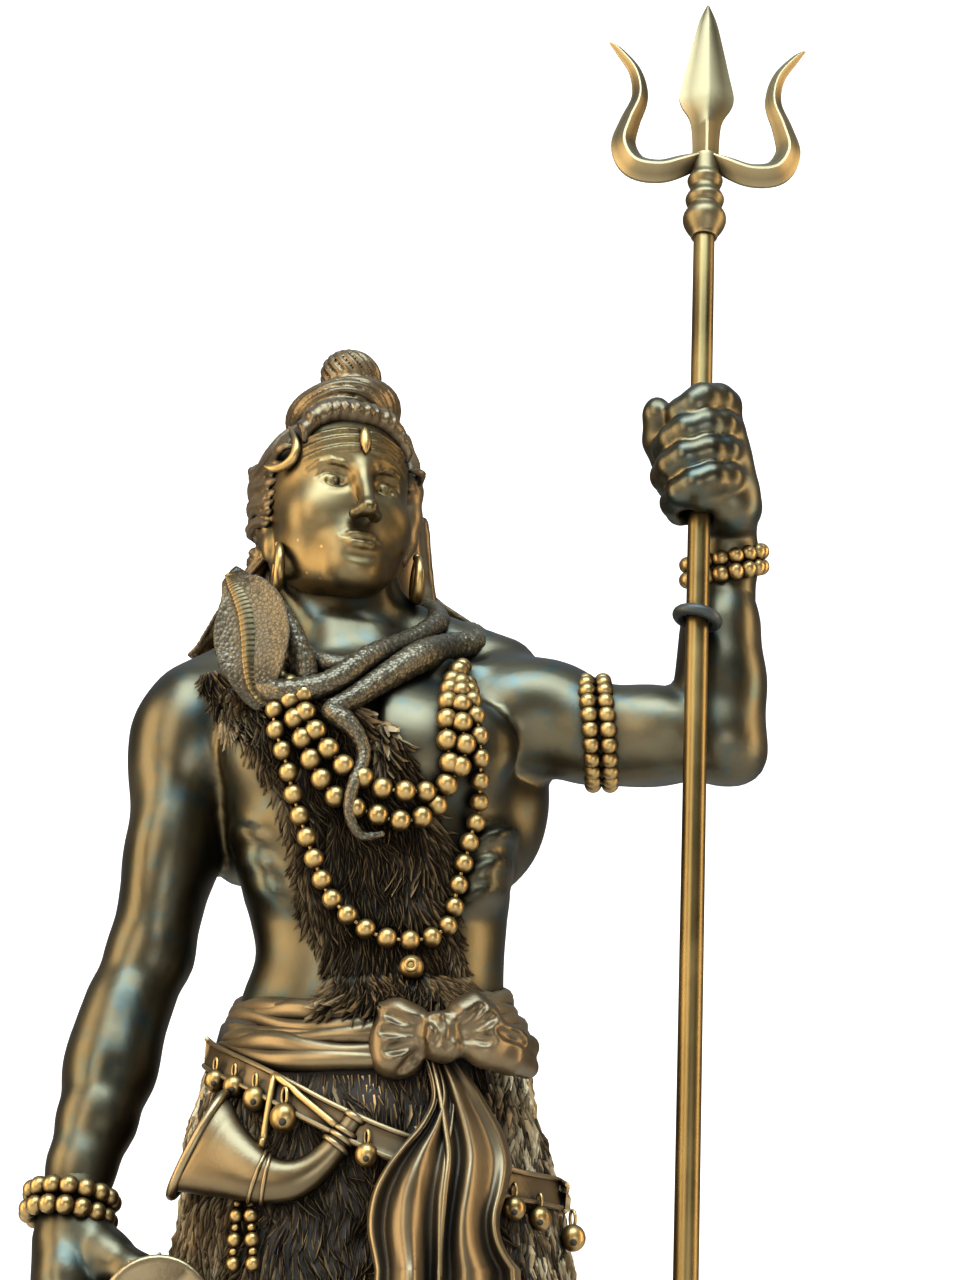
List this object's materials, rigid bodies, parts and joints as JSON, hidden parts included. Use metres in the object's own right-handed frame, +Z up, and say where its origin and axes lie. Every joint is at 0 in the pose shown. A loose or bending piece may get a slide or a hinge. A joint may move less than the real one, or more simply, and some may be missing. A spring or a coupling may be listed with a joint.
{
  "type": "shiva statue",
  "caption": "Standing deity figure in cold-cast bronze holding a tall trident upright in a raised fist, with neck snake, bead strings, fur skirt and a low rock base.",
  "frame": {"origin": "centre of the flat underside of the base", "axes": "+Z up along the standing figure, -Y out of the figure's front, +X to the figure's left, the side of the trident"},
  "size_m": [0.2269, 0.1384, 0.6876],
  "materials": {
    "bronze_patina": "dark greenish-brown patina, satin, rubbed golden on the high places",
    "rod_bronze": "golden-brown satin",
    "trident_bronze": "pale bronze satin",
    "black_rubber": "matte"
  },
  "bodies": {
    "root": {"figure_and_base": "bronze_patina", "trident_rod": "rod_bronze", "trident_head": "trident_bronze", "stop_ring": "black_rubber"}
  },
  "joints": []
}
